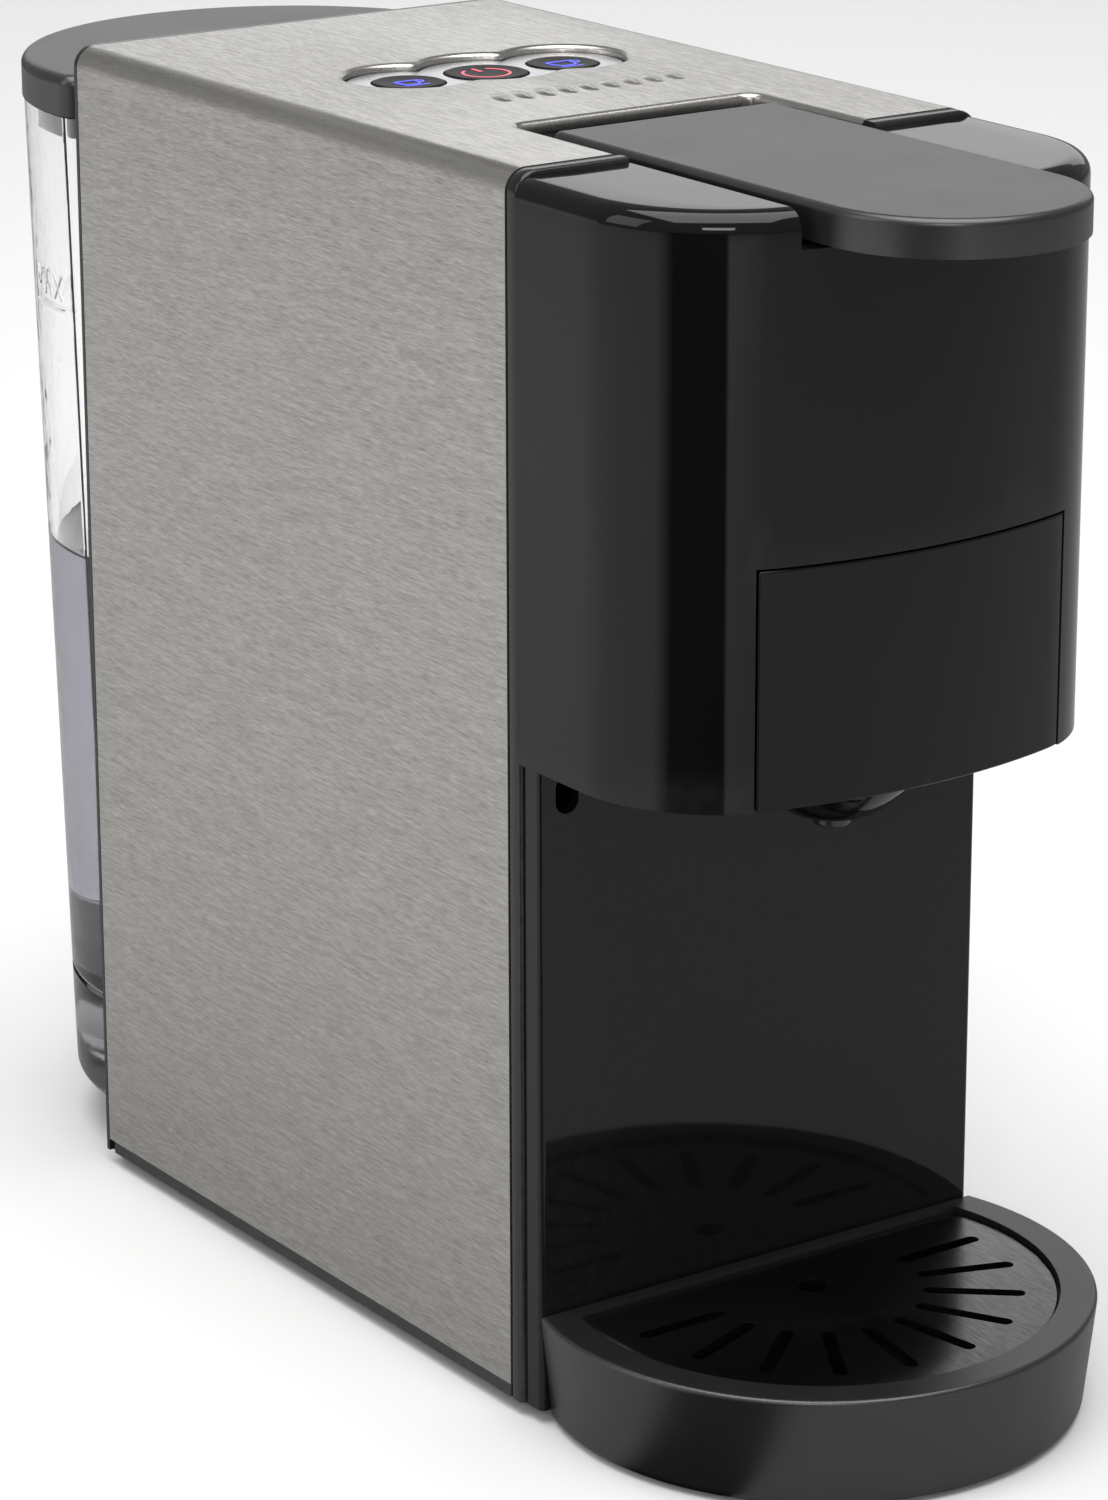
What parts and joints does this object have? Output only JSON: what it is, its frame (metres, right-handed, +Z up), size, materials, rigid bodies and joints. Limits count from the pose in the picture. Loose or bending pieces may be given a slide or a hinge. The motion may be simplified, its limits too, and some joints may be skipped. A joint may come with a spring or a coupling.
{
  "type": "pod coffee machine",
  "caption": "Slim pod coffee machine: steel cover, gloss front with a capsule adapter, round-nosed lever, drip tray, buttons and a clear lift-off water tank.",
  "frame": {"origin": "on the table, under the middle of the machine's bounding box", "axes": "+Z up; the front, with the lever's nose and the drip tray, faces -Y; +X is on the right of someone who faces the machine"},
  "size_m": [0.1138, 0.3114, 0.252],
  "materials": {
    "steel": "brushed along the depth",
    "gloss_black": "high gloss",
    "satin_black": "fine satin grain",
    "rim_black": "satin",
    "inner_abs": "moulded",
    "brew_nylon": "glass-filled nylon",
    "grid_steel": "dark brushed",
    "cup_steel": "drawn",
    "shaft_steel": "ground",
    "zinc_screw": "zinc plated",
    "cast_heater": "as cast",
    "pump_iron": "lacquered iron",
    "clear_tank": "clear moulded plastic",
    "bezel_silver": "metallised",
    "button_black": "gloss",
    "board_green": "solder mask",
    "switch_black": "moulded",
    "valve_white": "moulded",
    "silicone": "soft",
    "hose_silicone": "soft",
    "rubber_black": "matt"
  },
  "bodies": {
    "machine": {"steel_cover": "steel", "front_rim": "rim_black", "rear_panel": "rim_black", "base_plate": "rim_black", "chassis_left": "inner_abs", "chassis_right": "inner_abs", "top_deck": "inner_abs", "lever_well": "rim_black", "front_housing": "gloss_black", "column_panel": "gloss_black", "brew_frame": "brew_nylon", "brew_tower_left": "brew_nylon", "brew_tower_right": "brew_nylon", "guide_rods": "shaft_steel", "button_bezel": "bezel_silver", "control_board": "board_green", "board_posts": "inner_abs", "tact_switches": "switch_black", "thermoblock": "cast_heater", "heater_bracket": "zinc_screw", "thermostat": "switch_black", "water_pump": "pump_iron", "pump_mounts": "rubber_black", "flow_meter": "valve_white", "relief_valve": "valve_white", "power_board": "board_green", "suction_hose": "hose_silicone", "feed_hose": "hose_silicone", "brew_hose": "hose_silicone", "tank_stand": "gloss_black", "tank_spigot": "valve_white", "spigot_seal": "silicone", "cord_gland": "rubber_black", "foot_pads": "rubber_black", "base_screws": "zinc_screw"},
    "lever": {"lever": "satin_black", "lever_shaft": "shaft_steel", "shaft_clips": "zinc_screw", "lever_cams": "cup_steel"},
    "brew_head": {"brew_yoke": "brew_nylon", "brew_head": "brew_nylon", "brew_seal": "silicone", "needle_plate": "cup_steel"},
    "adapter": {"adapter_front": "gloss_black", "adapter_body": "inner_abs", "capsule_cup": "cup_steel", "spout_dome": "gloss_black", "nozzle": "satin_black"},
    "button_small_cup": {"button_small_cup": "button_black"},
    "button_power": {"button_power": "button_black"},
    "button_large_cup": {"button_large_cup": "button_black"},
    "tank": {"water_tank": "clear_tank", "valve_spring": "shaft_steel", "valve_cage": "valve_white"},
    "tank_valve": {"tank_valve": "valve_white"},
    "tank_lid": {"tank_lid": "satin_black"},
    "drip_tray": {"drip_tray": "satin_black"},
    "drip_grid": {"drip_grid": "grid_steel"}
  },
  "joints": [
    {"name": "lever_lift", "type": "hinge", "parent": "machine", "child": "lever", "pos_m": [0, -0.05, 0.239], "axis": [-1, 0, 0], "range_deg": [0, 80]},
    {"name": "brew_head_slide", "type": "slide", "parent": "machine", "child": "brew_head", "axis": [0, 0, 1], "range_m": [0, 0.011]},
    {"name": "adapter_slide", "type": "slide", "parent": "machine", "child": "adapter", "axis": [0, -1, 0], "range_m": [0, 0.095]},
    {"name": "small_cup_press", "type": "slide", "parent": "machine", "child": "button_small_cup", "axis": [0, 0, -1], "range_m": [0, 0.0008], "stiffness_N_per_m": 900},
    {"name": "power_press", "type": "slide", "parent": "machine", "child": "button_power", "axis": [0, 0, -1], "range_m": [0, 0.0008], "stiffness_N_per_m": 900},
    {"name": "large_cup_press", "type": "slide", "parent": "machine", "child": "button_large_cup", "axis": [0, 0, -1], "range_m": [0, 0.0008], "stiffness_N_per_m": 900},
    {"name": "tank_lift", "type": "slide", "parent": "machine", "child": "tank", "axis": [0, 0, 1], "range_m": [0, 0.225]},
    {"name": "lid_lift", "type": "slide", "parent": "tank", "child": "tank_lid", "axis": [0, 0, 1], "range_m": [0, 0.04]},
    {"name": "valve_lift", "type": "slide", "parent": "tank", "child": "tank_valve", "axis": [0, 0, 1], "range_m": [0, 0.0022], "stiffness_N_per_m": 120, "deforming": ["valve_spring"]},
    {"name": "tray_slide", "type": "slide", "parent": "machine", "child": "drip_tray", "axis": [0, -1, 0], "range_m": [0, 0.09]},
    {"name": "grid_lift", "type": "slide", "parent": "drip_tray", "child": "drip_grid", "axis": [0, 0, 1], "range_m": [0, 0.03]}
  ],
  "couplings": [
    {"joint": "brew_head_slide", "follows": "lever_lift", "m_per_rad": 0.0078782}
  ]
}
